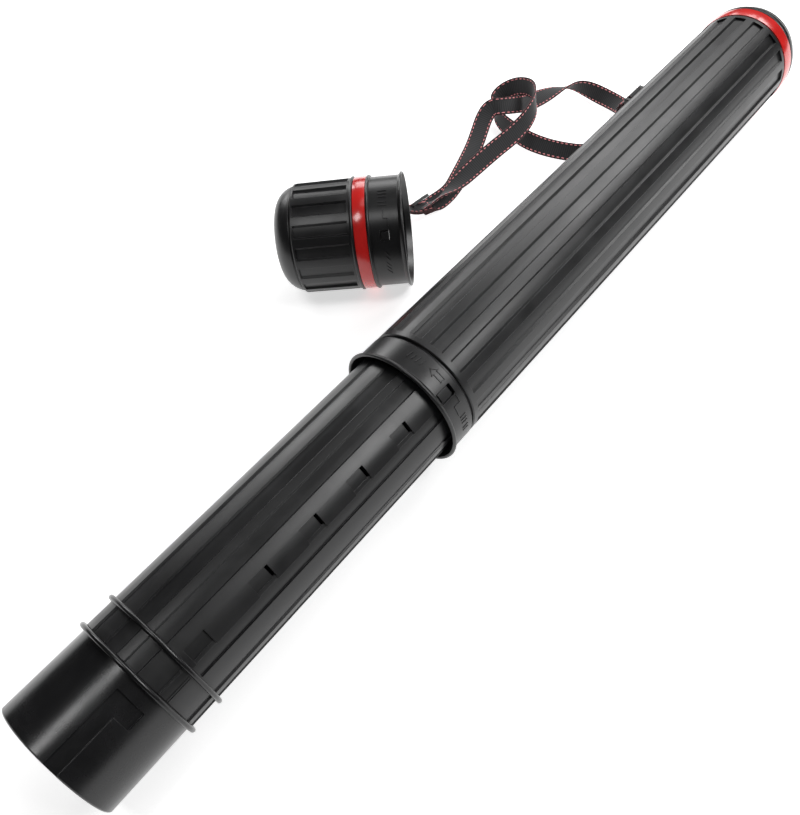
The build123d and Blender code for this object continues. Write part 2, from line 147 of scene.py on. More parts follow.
class TubeStage(bpy.types.PropertyGroup):
    floor: bpy.props.FloatVectorProperty(
        name="Floor", description="Colour of the floor", subtype="COLOR",
        size=4, min=0, max=1, default=(0.9, 0.9, 0.9, 1),
    )
    glow: bpy.props.FloatProperty(
        name="Floor Glow", description="Light that the floor gives by itself", default=0.62, min=0,
    )
    ambient: bpy.props.FloatProperty(
        name="Ambient", description="Strength of the even light from all round",
        default=0.04, min=0,
    )


# ---- shader helpers ----
def add(tree, kind, values=(), **settings):
    """A new shader node with its settings and its inputs' values."""
    node = tree.nodes.new(kind)
    for key, value in settings.items():
        setattr(node, key, value)
    for key, value in dict(values).items():
        node.inputs[key].default_value = value
    return node


def maths(tree, operation, a, b=None):
    """A Math node on two numbers or sockets; gives its output."""
    node = add(tree, "ShaderNodeMath", operation=operation)
    for slot, value in enumerate((a, b)):
        if isinstance(value, bpy.types.NodeSocket):
            tree.links.new(value, node.inputs[slot])
        elif value is not None:
            node.inputs[slot].default_value = value
    return node.outputs[0]


def blend_colours(tree, factor, first, second):
    """A colour between two, by a factor socket; each is a colour or a socket."""
    node = add(tree, "ShaderNodeMix", data_type="RGBA")
    tree.links.new(factor, node.inputs["Factor"])
    for socket, value in ((node.inputs[6], first), (node.inputs[7], second)):
        if isinstance(value, bpy.types.NodeSocket):
            tree.links.new(value, socket)
        else:
            socket.default_value = value
    return node.outputs[2]


def between(tree, value, low, high):
    """Maps a 0 to 1 socket on to a range."""
    node = add(tree, "ShaderNodeMapRange", {"To Min": low, "To Max": high})
    tree.links.new(value, node.inputs["Value"])
    return node.outputs[0]


def new_group(name, inputs, outputs):
    """An empty shader node group with its sockets, and its two end nodes."""
    tree = bpy.data.node_groups.new(name, "ShaderNodeTree")
    for label, default in inputs:
        socket = tree.interface.new_socket(label, in_out="INPUT", socket_type="NodeSocketFloat")
        socket.default_value = default
    for label in outputs:
        tree.interface.new_socket(label, in_out="OUTPUT", socket_type="NodeSocketFloat")
    return tree, tree.nodes.new("NodeGroupInput"), tree.nodes.new("NodeGroupOutput")


def moulded_grain():
    """Fine spark-eroded grain of a moulded part, with slow waves as the wall shrank."""
    tree, given, out = new_group(
        "Moulded Grain", [("Scale", 2600.0), ("Waves", 0.35)], ["Height", "Tone"]
    )
    place = add(tree, "ShaderNodeTexCoord")
    fine = add(tree, "ShaderNodeTexNoise", {"Detail": 3.0, "Roughness": 0.6})
    tree.links.new(place.outputs["Object"], fine.inputs["Vector"])
    tree.links.new(given.outputs["Scale"], fine.inputs["Scale"])
    slow = add(tree, "ShaderNodeTexNoise", {"Scale": 38.0, "Detail": 2.0})
    tree.links.new(place.outputs["Object"], slow.inputs["Vector"])
    waves = maths(tree, "MULTIPLY", slow.outputs["Fac"], given.outputs["Waves"])
    tree.links.new(maths(tree, "ADD", fine.outputs["Fac"], waves), out.inputs["Height"])
    tree.links.new(slow.outputs["Fac"], out.inputs["Tone"])
    return tree


def handling_wear():
    """Faint smudges and fine scratches from handling, as a mask."""
    tree, given, out = new_group(
        "Handling Wear", [("Smudge Scale", 26.0), ("Scratches", 0.5)], ["Mask"]
    )
    place = add(tree, "ShaderNodeTexCoord")
    smudge = add(
        tree, "ShaderNodeTexNoise", {"Detail": 5.0, "Roughness": 0.62, "Distortion": 0.6}
    )
    tree.links.new(place.outputs["Object"], smudge.inputs["Vector"])
    tree.links.new(given.outputs["Smudge Scale"], smudge.inputs["Scale"])
    stretch = add(
        tree, "ShaderNodeMapping", {"Scale": (60.0, 900.0, 900.0), "Rotation": (0.3, 0.2, 0.1)}
    )
    tree.links.new(place.outputs["Object"], stretch.inputs["Vector"])
    hair = add(tree, "ShaderNodeTexNoise", {"Scale": 1.0, "Detail": 1.0})
    tree.links.new(stretch.outputs[0], hair.inputs["Vector"])
    thin = add(tree, "ShaderNodeMapRange", {"From Min": 0.66, "From Max": 0.74})
    tree.links.new(hair.outputs["Fac"], thin.inputs["Value"])
    scratches = maths(tree, "MULTIPLY", thin.outputs[0], given.outputs["Scratches"])
    broad = add(tree, "ShaderNodeMapRange", {"From Min": 0.36, "From Max": 0.68})
    tree.links.new(smudge.outputs["Fac"], broad.inputs["Value"])
    mask = maths(tree, "MAXIMUM", broad.outputs[0], scratches)
    tree.links.new(mask, out.inputs["Mask"])
    return tree


def webbing_weave():
    """Ribs across the webbing and yarns along it, from its two flat coordinates."""
    tree, given, out = new_group(
        "Webbing Weave", [("Along", 0.0), ("Across", 0.0), ("Pitch", 0.0021)],
        ["Height", "Rib", "Edge"],
    )
    turn = maths(tree, "DIVIDE", given.outputs["Along"], given.outputs["Pitch"])
    rib = maths(tree, "SINE", maths(tree, "MULTIPLY", turn, 2 * math.pi))
    rib = maths(tree, "MULTIPLY", maths(tree, "ADD", rib, 1.0), 0.5)
    yarn = maths(tree, "SINE", maths(tree, "MULTIPLY", given.outputs["Across"], 22 * math.pi))
    yarn = maths(tree, "MULTIPLY", maths(tree, "ADD", yarn, 1.0), 0.5)
    off_middle = maths(tree, "ABSOLUTE", maths(tree, "SUBTRACT", given.outputs["Across"], 0.5))
    edge = add(tree, "ShaderNodeMapRange", {"From Min": 0.435, "From Max": 0.46})
    tree.links.new(off_middle, edge.inputs["Value"])
    rib_part, yarn_part = maths(tree, "MULTIPLY", rib, 0.7), maths(tree, "MULTIPLY", yarn, 0.3)
    height = maths(tree, "ADD", rib_part, yarn_part)
    tree.links.new(height, out.inputs["Height"])
    tree.links.new(rib, out.inputs["Rib"])
    tree.links.new(edge.outputs[0], out.inputs["Edge"])
    return tree


def place_group(tree, name, **values):
    """The named node group, made the first time it is asked for, placed in a material."""
    makers = {
        "Moulded Grain": moulded_grain,
        "Handling Wear": handling_wear,
        "Webbing Weave": webbing_weave,
    }
    node = tree.nodes.new("ShaderNodeGroup")
    node.node_tree = bpy.data.node_groups.get(name) or makers[name]()
    for key, value in values.items():
        node.inputs[key.replace("_", " ")].default_value = value
    return node


def blank(name):
    """A new material, with its node tree and its Principled shader."""
    material = bpy.data.materials.new(name)
    material.use_nodes = True
    return material, material.node_tree, material.node_tree.nodes["Principled BSDF"]


def plastic(name, colour, rough, grain, worn=0.05, scale=2600.0, coat=0.0, scratches=0.5):
    """A moulded plastic: grain, rounded edges, and smudges that change its gloss."""
    known = bpy.data.materials.get(name)
    if known:
        return known
    look = bpy.context.scene.tube_finishes
    material, tree, shader = blank(name)
    wear = place_group(tree, "Handling Wear", Scratches=scratches)
    texture = place_group(tree, "Moulded Grain", Scale=scale)
    dusty = tuple(min(1.0, c * 1.7 + 0.004) for c in colour[:3]) + (1,)
    tone = between(tree, wear.outputs["Mask"], 0.0, 0.45)
    tree.links.new(blend_colours(tree, tone, tuple(colour), dusty), shader.inputs["Base Color"])
    gloss = between(tree, wear.outputs["Mask"], rough - worn * 0.4, rough + worn)
    tree.links.new(gloss, shader.inputs["Roughness"])
    rounded = add(tree, "ShaderNodeBevel", {"Radius": look.edge_round}, samples=6)
    bump = add(tree, "ShaderNodeBump", {"Strength": grain, "Distance": 0.00006})
    tree.links.new(texture.outputs["Height"], bump.inputs["Height"])
    tree.links.new(rounded.outputs[0], bump.inputs["Normal"])
    tree.links.new(bump.outputs[0], shader.inputs["Normal"])
    shader.inputs["Coat Weight"].default_value = coat
    shader.inputs["Coat Roughness"].default_value = 0.12
    return material


def webbing_material():
    """Ribbed webbing with coloured edges; the rib crests are painted lighter, a painted highlight
    on each rib.
    """
    strap = bpy.context.scene.tube_strap
    material, tree, shader = blank("Webbing")
    chart = add(tree, "ShaderNodeUVMap", uv_map="webbing")
    split = add(tree, "ShaderNodeSeparateXYZ")
    tree.links.new(chart.outputs[0], split.inputs[0])
    weave = place_group(tree, "Webbing Weave", Pitch=strap.rib_pitch)
    tree.links.new(split.outputs["X"], weave.inputs["Along"])
    tree.links.new(split.outputs["Y"], weave.inputs["Across"])
    # painted highlight: each rib's crest is coloured lighter than the hollows beside it
    light = tuple(c * 2.6 for c in strap.webbing[:3]) + (1,)
    cloth = blend_colours(tree, weave.outputs["Rib"], tuple(strap.webbing), light)
    colour = blend_colours(tree, weave.outputs["Edge"], cloth, tuple(strap.edging))
    tree.links.new(colour, shader.inputs["Base Color"])
    bump = add(tree, "ShaderNodeBump", {"Strength": 0.55, "Distance": 0.00022})
    tree.links.new(weave.outputs["Height"], bump.inputs["Height"])
    tree.links.new(bump.outputs[0], shader.inputs["Normal"])
    shader.inputs["Roughness"].default_value = 0.78
    shader.inputs["Sheen Weight"].default_value = 0.35
    shader.inputs["Sheen Roughness"].default_value = 0.4
    return material


def thread_material():
    """Twisted sewing thread."""
    strap = bpy.context.scene.tube_strap
    material, tree, shader = blank("Stitching Thread")
    place = add(tree, "ShaderNodeTexCoord")
    plies = add(tree, "ShaderNodeTexNoise", {"Scale": 2400.0, "Detail": 2.0})
    tree.links.new(place.outputs["Object"], plies.inputs["Vector"])
    pale = tuple(min(1.0, c * 1.35 + 0.05) for c in strap.thread[:3]) + (1,)
    tree.links.new(
        blend_colours(tree, plies.outputs["Fac"], tuple(strap.thread), pale),
        shader.inputs["Base Color"],
    )
    bump = add(tree, "ShaderNodeBump", {"Strength": 0.4, "Distance": 0.0001})
    tree.links.new(plies.outputs["Fac"], bump.inputs["Height"])
    tree.links.new(bump.outputs[0], shader.inputs["Normal"])
    shader.inputs["Roughness"].default_value = 0.7
    return material


def finish_nodes(material, *names):
    """Gives CAD nodes a material."""
    for name in names:
        node = NODES[name]
        node.data.materials.clear()
        node.data.materials.append(material)


# ---- mesh helpers ----
def piece(name, points, faces, material, body, smooth=True):
    """A mesh piece that rides on a body."""
    mesh = bpy.data.meshes.new(name)
    mesh.from_pydata([tuple(p) for p in points], [], faces)
    mesh.polygons.foreach_set("use_smooth", [smooth] * len(mesh.polygons))
    mesh.materials.append(material)
    mesh.update()
    thing = bpy.data.objects.new(name, mesh)
    bpy.context.scene.collection.objects.link(thing)
    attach(thing, body)
    return thing


class Barrel:
    """A cylinder's own coordinates: place along it, angle round it and radius."""

    def __init__(self, origin, along, start):
        self.origin, self.along, self.start = origin, along, start
        self.quarter = along.cross(start)

    def at(self, s, angle, radius):
        turn = math.radians(angle)
        out = self.start * math.cos(turn) + self.quarter * math.sin(turn)
        return self.origin + self.along * s + out * radius


TUBE = Barrel(Vector((0, 0, 0)), Vector((1, 0, 0)), Vector((0, 1, 0)))
CAP = Barrel(CAP_MOUTH, CAP_ALONG, CAP_SIDE)


def raised_lines(name, barrel, radius, strokes, material, body):
    """Raised lines on a barrel; each stroke is a list of (place in mm, angle) corners."""
    marks = bpy.context.scene.tube_marks
    half, top, foot = marks.line / 2, radius + marks.height, radius - 0.1 * MM
    section = ((-1, foot), (-0.72, top), (0.72, top), (1, foot))
    longest_step = 1.2 * MM
    points, faces = [], []
    for stroke in strokes:
        for (s0, a0), (s1, a1) in zip(stroke, stroke[1:]):
            s0, s1 = s0 * MM, s1 * MM
            arc0, arc1 = math.radians(a0) * radius, math.radians(a1) * radius
            run = Vector((s1 - s0, arc1 - arc0))
            step = run.normalized() * half
            side = Vector((-step.y, step.x))
            count = max(1, math.ceil(run.length / longest_step))
            first = len(points)
            for i in range(count + 1):
                middle = Vector((s0, arc0)) - step + (run + 2 * step) * (i / count)
                for share, r in section:
                    spot = middle + side * share
                    points.append(barrel.at(spot.x, math.degrees(spot.y / radius), r))
            for i in range(count):
                a = first + 4 * i
                faces += [(a + k, a + k + 1, a + k + 5, a + k + 4) for k in range(3)]
                faces.append((a + 3, a, a + 4, a + 7))
            last = first + 4 * count
            faces.append((first + 3, first + 2, first + 1, first))
            faces.append((last, last + 1, last + 2, last + 3))
    return piece(name, points, faces, material, body, smooth=False)


def from_lock(strokes):
    """Strokes whose angles are counted from the lock, as angles about the tube."""
    return [[(x, angle + LOCK_ANGLE) for x, angle in stroke] for stroke in strokes]


# ---- strap: flat webbing on the route of a NURBS line ----
# x, y, z in metres, then the way the webbing's width points there
LOWER_STRAND = [
    (0.4905, 0.1546, -0.0347, 0.49, 0.87, -0.10),
    (0.5010, 0.1505, -0.0340, 0.20, 0.75, -0.62),
    (0.5130, 0.1465, -0.0320, 0.10, 0.72, -0.68),
    (0.5290, 0.1424, -0.0285, 0.22, 0.97, 0.10),
    (0.5540, 0.1400, -0.0245, 0.40, 0.72, 0.57),
    (0.5797, 0.1360, -0.0200, 0.43, 0.60, 0.67),
    (0.6042, 0.1305, -0.0155, 0.35, 0.56, 0.75),
    (0.6261, 0.1290, -0.0110, 0.16, 0.46, 0.87),
    (0.6496, 0.1349, -0.0070, 0.20, 0.24, 0.95),
    (0.6667, 0.1500, -0.0065, 0.30, 0.10, 0.95),
    (0.6708, 0.1698, -0.0110, 0.38, 0.22, 0.90),
    (0.6679, 0.1851, -0.0195, 0.38, 0.36, 0.85),
    (0.6592, 0.1904, -0.0270, 0.26, 0.32, 0.90),
    (0.6509, 0.1858, -0.0345, 0.16, 0.00, 0.98),
    (0.6445, 0.1737, -0.0385, 0.20, -0.35, 0.90),
    (0.6372, 0.1543, -0.0385, 0.42, -0.30, 0.86),
    (0.6318, 0.1337, -0.0385, 0.61, 0.13, 0.78),
    (0.6310, 0.1142, -0.0385, 0.69, 0.41, 0.60),
    (0.6335, 0.0960, -0.0383, 0.65, 0.45, 0.61),
    (0.6385, 0.0785, -0.0380, 0.70, 0.42, 0.58),
    (0.6460, 0.0660, -0.0365, 0.50, 0.60, 0.62),
    (0.6560, 0.0600, -0.0325, 0.05, 0.75, 0.65),
    (0.6670, 0.0590, -0.0270, -0.42, 0.55, 0.72),
    (0.6765, 0.0605, -0.0205, -0.72, 0.25, 0.60),
    (0.6830, 0.0620, -0.0125, -0.93, 0.05, 0.30),
    (0.6850, 0.0612, -0.0045, -1.00, 0.00, 0.00),
]
UPPER_STRAND = [
    (0.4905, 0.1546, -0.0365, 0.49, 0.87, -0.10),
    (0.5025, 0.1515, -0.0370, 0.40, 0.80, 0.20),
    (0.5140, 0.1485, -0.0375, 0.10, 0.60, 0.75),
    (0.5290, 0.1490, -0.0378, -0.30, 0.50, 0.80),
    (0.5463, 0.1536, -0.0370, -0.40, 0.71, 0.58),
    (0.5684, 0.1605, -0.0360, -0.29, 0.89, 0.35),
    (0.5902, 0.1677, -0.0340, -0.40, 0.87, 0.28),
    (0.6063, 0.1734, -0.0300, -0.40, 0.87, 0.28),
    (0.6213, 0.1785, -0.0240, -0.36, 0.88, 0.31),
    (0.6335, 0.1785, -0.0175, 0.05, 0.86, 0.50),
    (0.6400, 0.1680, -0.0165, 0.62, 0.49, 0.61),
    (0.6525, 0.1615, -0.0200, 0.60, 0.52, 0.61),
    (0.6681, 0.1592, -0.0260, 0.50, 0.62, 0.60),
    (0.6902, 0.1578, -0.0310, 0.46, 0.78, 0.43),
    (0.7150, 0.1530, -0.0330, 0.52, 0.84, -0.19),
    (0.7300, 0.1445, -0.0345, 0.42, 0.45, -0.79),
    (0.7352, 0.1308, -0.0370, -0.14, 0.18, -0.97),
    (0.7330, 0.1093, -0.0385, -0.63, 0.29, -0.72),
    (0.7270, 0.0880, -0.0380, -0.76, 0.25, -0.61),
    (0.7170, 0.0775, -0.0330, -0.86, 0.19, -0.48),
    (0.7040, 0.0700, -0.0240, -0.94, 0.13, -0.32),
    (0.6920, 0.0645, -0.0130, -0.99, 0.06, -0.16),
    (0.6858, 0.0598, -0.0050, -1.00, 0.00, 0.00),
]


def nurbs_line(name, route):
    """The points of the smooth NURBS line that a route controls."""
    curve = bpy.data.curves.new(name, "CURVE")
    curve.dimensions = "3D"
    curve.resolution_u = 40
    spline = curve.splines.new("NURBS")
    spline.points.add(len(route) - 1)
    for point, given in zip(spline.points, route):
        point.co = (*given[:3], 1)
    spline.order_u = 3
    spline.use_endpoint_u = True
    holder = bpy.data.objects.new(name, curve)
    bpy.context.scene.collection.objects.link(holder)
    bpy.context.view_layer.update()
    seen = holder.evaluated_get(bpy.context.evaluated_depsgraph_get())
    mesh = bpy.data.meshes.new_from_object(seen)
    points = [v.co.copy() for v in mesh.vertices]
    bpy.data.objects.remove(holder)
    bpy.data.curves.remove(curve)
    bpy.data.meshes.remove(mesh)
    return points


def even_frames(points, widths, step):
    """Evenly spaced places on a line, each with its point, width direction and face direction."""
    lengths = [0.0]
    for a, b in zip(points, points[1:]):
        lengths.append(lengths[-1] + (b - a).length)
    count = max(2, round(lengths[-1] / step))
    places, j = [], 0
    for i in range(count + 1):
        wanted = lengths[-1] * i / count
        while j < len(points) - 2 and lengths[j + 1] < wanted:
            j += 1
        share = (wanted - lengths[j]) / max(lengths[j + 1] - lengths[j], 1e-12)
        share = min(1.0, max(0.0, share))
        places.append((points[j].lerp(points[j + 1], share), widths[j].lerp(widths[j + 1], share)))
    frames = []
    for i, (point, wide) in enumerate(places):
        ahead = places[min(i + 2, count)][0] - places[max(i - 2, 0)][0]
        ahead.normalize()
        wide = (wide - ahead * wide.dot(ahead)).normalized()
        frames.append((point, wide, ahead.cross(wide).normalized()))
    return frames, lengths[-1]


def control_widths(route, count):
    """The width direction at each of a quadratic spline's points, smoothed."""
    given = [Vector(p[3:]) for p in route]
    last = len(route) - 2
    keys = [0.0] + [i - 0.5 for i in range(1, len(route) - 1)] + [float(last)]
    found = []
    for i in range(count):
        u = last * i / (count - 1)
        k = max(j for j in range(len(keys) - 1) if keys[j] <= u + 1e-9)
        found.append(given[k].lerp(given[k + 1], (u - keys[k]) / (keys[k + 1] - keys[k])))
    reach = 22  # points to each side that the smoothing takes in
    smooth = []
    for i in range(count):
        near = found[max(0, i - reach):i + reach + 1]
        smooth.append(sum(near, Vector()) / len(near))
    return smooth


def webbing_mesh(name, frames, long, material, body, tight=1.0):
    """Flat webbing with thicker woven edges and ribs across it."""
    strap = bpy.context.scene.tube_strap
    across = [-1.0, -0.985, -0.94, -0.88, -0.6, -0.2, 0.2, 0.6, 0.88, 0.94, 0.985, 1.0]
    swell = [0.25, 0.72, 1.0, 0.84, 0.8, 0.8, 0.8, 0.8, 0.84, 1.0, 0.72, 0.25]
    ribbed, rib_height = 0.9, 0.16
    half_w, half_t = strap.width / 2, strap.thickness / 2 * tight
    points, flat, faces = [], [], []
    columns = [(a, s, 1) for a, s in zip(across, swell)]
    columns += [(a, s, -1) for a, s, _ in reversed(columns)]
    ring = len(columns)
    for i, (point, wide, face) in enumerate(frames):
        along = long * i / (len(frames) - 1)
        rib = 0.5 + 0.5 * math.sin(2 * math.pi * along / strap.rib_pitch)
        for a, s, side in columns:
            raised = rib_height * rib - rib_height / 2 if abs(a) < ribbed else 0.0
            bulge = half_t * (s + raised)
            points.append(point + wide * (a * half_w) + face * (side * bulge))
            flat.append((along, 0.5 + a / 2))
    for i in range(len(frames) - 1):
        for k in range(ring):
            a, b = i * ring + k, i * ring + (k + 1) % ring
            faces.append((a, b, b + ring, a + ring))
    faces += [tuple(range(ring))[::-1], tuple(range(len(points) - ring, len(points)))]
    thing = piece(name, points, faces, material, body)
    chart = thing.data.uv_layers.new(name="webbing")
    for loop in thing.data.loops:
        chart.data[loop.index].uv = flat[loop.vertex_index]
    return thing


def stitch_mesh(name, rows, material, body):
    """Stitches as small capsules; each row is a list of (start, end, face direction)."""
    points, faces = [], []
    sides, radius, flatter, wider = 6, 0.42 * MM, 0.75, 1.15
    rings = ((0.0, 0.35), (0.12, 0.85), (0.35, 1.0), (0.65, 1.0), (0.88, 0.85), (1.0, 0.35))
    for start, end, up in rows:
        ahead = (end - start).normalized()
        side = ahead.cross(up).normalized()
        lift = side.cross(ahead)
        first = len(points)
        for share, wide in rings:
            middle = start.lerp(end, share)
            for k in range(sides):
                turn = 2 * math.pi * k / sides
                round_at = side * math.cos(turn) * wider + lift * math.sin(turn) * flatter
                points.append(middle + round_at * radius * wide)
        for r in range(len(rings) - 1):
            for k in range(sides):
                a, b = first + r * sides + k, first + r * sides + (k + 1) % sides
                faces.append((a, a + sides, b + sides, b))
        end_ring = first + (len(rings) - 1) * sides
        faces.append(tuple(first + k for k in range(sides)))
        faces.append(tuple(end_ring + k for k in reversed(range(sides))))
    return piece(name, points, faces, material, body)


def edge_stitches(frames, long, start=0.0, faces=(1, -1)):
    """The two rows of stitches beside a strand's edges, on the faces named."""
    strap = bpy.context.scene.tube_strap
    pitch = strap.stitch + strap.stitch_gap
    clear = 1.0 * MM
    row_share, sunk = 0.80, 0.98
    rows = []
    scale = (len(frames) - 1) / long
    for side in (-1, 1):
        along = start + clear
        while along + strap.stitch < long - clear:
            spots = []
            for place in (along, along + strap.stitch):
                point, wide, face = frames[round(place * scale)]
                spots.append((point + wide * (side * row_share * strap.width / 2), face))
            (here, out), (there, out_there) = spots
            for up in faces:
                lift = strap.thickness / 2 * sunk * up
                rows.append((here + out * lift, there + out_there * lift, out * up))
            along += pitch
    return rows


def make_strand(name, route, material, thread):
    """One strand of webbing with its stitching."""
    strap = bpy.context.scene.tube_strap
    line = nurbs_line(name + "_route", route)
    frames, long = even_frames(line, control_widths(route, len(line)), strap.rib_pitch / 6)
    strand = webbing_mesh(name, frames, long, material, "strap")
    sewing = stitch_mesh(name + "_stitches", edge_stitches(frames, long), thread, "strap")
    return strand


def sewn_end(name, bar, bar_way, tail, route, material, thread, node, tack):
    """Webbing that goes round a lug's bar and is sewn to itself, as one doubled strip."""
    strap = bpy.context.scene.tube_strap
    gap = strap.thickness * 0.56  # each layer's middle, from the strip's middle
    sleeve = 2.55 * MM  # radius of the webbing's middle round the bar
    spine = [bar + tail * sleeve * 1.6] + [Vector(p[:3]) for p in route]
    wides = [bar_way] + [Vector(p[3:]) for p in route]
    line = nurbs_line(name + "_route", [(*p, *w) for p, w in zip(spine, wides)])
    given = control_widths([(*p, *w) for p, w in zip(spine, wides)], len(line))
    frames, long = even_frames(line, given, 0.5 * MM)
    upper = [(p + f * gap, w, f) for p, w, f in frames]
    lower = [(p - f * gap, w, f) for p, w, f in frames]
    lift = frames[0][2]
    turn_points, steps, first_angle, sweep = [], 16, 50, 260
    for i in range(1, steps):
        angle = math.radians(first_angle + sweep * i / steps)
        spot = bar + (tail * math.cos(angle) + lift * math.sin(angle)) * sleeve
        turn_points.append(spot)
    path = [p for p, _, _ in reversed(upper)] + turn_points + [p for p, _, _ in lower]
    widths = [w for _, w, _ in reversed(upper)]
    widths += [bar_way] * len(turn_points) + [w for _, w, _ in lower]
    loop_frames, loop_long = even_frames(path, widths, strap.rib_pitch / 6)
    thing = webbing_mesh(name, loop_frames, loop_long, material, "strap", tight=0.92)
    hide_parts(node)
    past_bar = 5 * MM
    rows = edge_stitches(upper, long, start=past_bar, faces=(1,))
    rows += edge_stitches(lower, long, start=past_bar, faces=(-1,))
    tack_first, tack_pitch, tack_stitch = -4.6, 3.2, 2.6 * MM
    for share in tack:
        point, wide, face = frames[round(share * (len(frames) - 1))]
        for up in (1, -1):
            surface = face * up * (gap + strap.thickness / 2)
            for k in range(3):
                a = point + wide * ((tack_first + tack_pitch * k) * MM) + surface
                rows.append((a, a + wide * tack_stitch, face * up))
    sewing = stitch_mesh(name + "_stitches", rows, thread, "strap")
    return thing, sewing


# ---- operators ----
class DRAWTUBE_OT_stage(bpy.types.Operator):
    """Make the camera, the pale floor and the soft studio light"""

    bl_idname = "drawtube.stage"
    bl_label = "Stage"

    def execute(self, context):
        scene, look = context.scene, context.scene.tube_stage
        scene.view_settings.view_transform = "Standard"
        lens = bpy.data.cameras.new("Camera")
        lens.sensor_width = 36
        lens.lens = LENS
        lens.shift_x, lens.shift_y = SHIFT_X, SHIFT_Y
        lens.clip_start, lens.clip_end = 0.01, 50
        camera = bpy.data.objects.new("Camera", lens)
        axes = zip(CAMERA_RIGHT, CAMERA_UP, CAMERA_BACK, CAMERA_AT)
        camera.matrix_world = Matrix((*axes, (0, 0, 0, 1)))
        scene.collection.objects.link(camera)
        scene.camera = camera

        material, tree, shader = blank("Floor")
        shader.inputs["Base Color"].default_value = look.floor
        shader.inputs["Roughness"].default_value = 0.9
        shader.inputs["Specular IOR Level"].default_value = 0.1
        shader.inputs["Emission Color"].default_value = (1, 1, 1, 1)
        shader.inputs["Emission Strength"].default_value = look.glow
        mesh = bpy.data.meshes.new("floor")
        corners = ((-1, -1), (1, -1), (1, 1), (-1, 1))
        mesh.from_pydata(
            [(x * FLOOR_HALF, y * FLOOR_HALF, FLOOR_Z) for x, y in corners], [], [(0, 1, 2, 3)]
        )
        mesh.materials.append(material)
        floor = bpy.data.objects.new("floor", mesh)
        scene.collection.objects.link(floor)

        world = bpy.data.worlds.new("Studio")
        world.use_nodes = True
        tree = world.node_tree
        background = tree.nodes["Background"]
        rays = add(tree, "ShaderNodeLightPath")
        strength = between(tree, rays.outputs["Is Camera Ray"], look.ambient, 1.0)
        tree.links.new(strength, background.inputs["Strength"])
        background.inputs["Color"].default_value = (1, 1, 1, 1)
        scene.world = world

        middle = Vector((0.4, 0.03, 0.0))
        panels = [
            # aim point, direction, distance, width, length, radiance
            (Vector((0.03, 0, 0)), Vector((-0.12, 0.04, 1.0)), 1.5, 0.30, 0.42, 9.5),
            (middle, Vector((0.33, -0.62, 0.70)), 2.0, 0.9, 0.7, 9.5),
            (middle, Vector((0.72, -0.15, 0.66)), 2.0, 0.8, 0.7, 7.0),
            (middle, Vector((0.72, 0.25, 0.62)), 2.0, 0.8, 0.6, 5.0),
            (middle, Vector((0.70, 0.58, 0.42)), 2.0, 0.9, 0.7, 3.5),
            (middle, Vector((0.30, 0.86, 0.40)), 2.0, 0.9, 0.7, 5.5),
            (middle, Vector((0.25, 0.10, 1.0)), 2.0, 0.6, 0.6, 1.2),
        ]
        for i, (aim, way, far, wide, long, radiance) in enumerate(panels):
            way = way.normalized()
            lamp = bpy.data.lights.new(f"softbox_{i}", "AREA")
            lamp.shape = "RECTANGLE"
            lamp.size, lamp.size_y = wide, long
            lamp.energy = radiance * math.pi * wide * long
            box = bpy.data.objects.new(f"softbox_{i}", lamp)
            box.rotation_mode = "QUATERNION"
            box.rotation_quaternion = way.to_track_quat("Z", "Y")
            box.location = aim + way * far
            scene.collection.objects.link(box)
        return {"FINISHED"}


class DRAWTUBE_OT_strap(bpy.types.Operator):
    """Lay the webbing strap with its stitching, its sewn ends and its slider"""

    bl_idname = "drawtube.strap"
    bl_label = "Strap"

    def execute(self, context):
        look = context.scene.tube_finishes
        cloth, thread = webbing_material(), thread_material()
        cap_end, cap_sewing = sewn_end(
            "strap_end_at_cap", CAP_BAR, CAP_ALONG, CAP_TAIL,
            [
                (0.4690, 0.1645, -0.0240, -0.45, 0.89, 0.00),
                (0.4800, 0.1605, -0.0320, 0.10, 0.99, -0.08),
                (0.4920, 0.1540, -0.0355, 0.49, 0.87, -0.10),
                (0.5020, 0.1496, -0.0360, 0.49, 0.86, -0.14),
            ],
            cloth, thread, "strap_cap_loop", tack=(0.42, 0.93),
        )
        tube_end, tube_sewing = sewn_end(
            "strap_end_at_tube", TUBE_BAR, Vector((1, 0, 0)), TUBE_TAIL,
            [
                (0.6850, 0.0578, -0.0011, 1, 0, 0),
                (0.6850, 0.0605, -0.0042, 1, 0, 0),
                (0.6850, 0.0640, -0.0080, 1, 0, 0),
            ],
            cloth, thread, "strap_tube_loop", tack=(0.9,),
        )
        lower = make_strand(
            "lower_strand", LOWER_STRAND, cloth, thread,
        )
        upper = make_strand("upper_strand", UPPER_STRAND, cloth, thread)
        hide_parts("strap_lower_strand")
        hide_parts("strap_upper_strand")
        finish_nodes(plastic("Slider Grey", look.grey, 0.42, 0.25, scale=1800.0), "strap_slider")
        return {"FINISHED"}


class DRAWTUBE_OT_tubes(bpy.types.Operator):
    """Give the two fluted tubes and their inner fittings their satin black"""

    bl_idname = "drawtube.tubes"
    bl_label = "Fluted Tubes"

    def execute(self, context):
        look = context.scene.tube_finishes
        satin = plastic("Satin Black", look.black, 0.34, 0.25)
        finish_nodes(satin, "outer_tube", "inner_tube", "guide_ring", "guide_retainer")
        ring = plastic("Ring Black", look.black, 0.24, 0.08)
        finish_nodes(ring, "travel_stop_ring", "cap_stop_ring")
        strip = [[(57.5, a), (72.5, a)] for a in (19.4, 20.6, 28.4, 30.2)]
        strokes = from_lock(strip)
        raised_lines("strip_lines", TUBE, INNER_R, strokes, satin, "inner")
        return {"FINISHED"}


class DRAWTUBE_OT_neck(bpy.types.Operator):
    """Give the open neck its smooth gloss"""

    bl_idname = "drawtube.neck"
    bl_label = "Neck"

    def execute(self, context):
        look = context.scene.tube_finishes
        finish_nodes(plastic("Neck Gloss", look.black, 0.24, 0.06, worn=0.08), "neck")
        return {"FINISHED"}


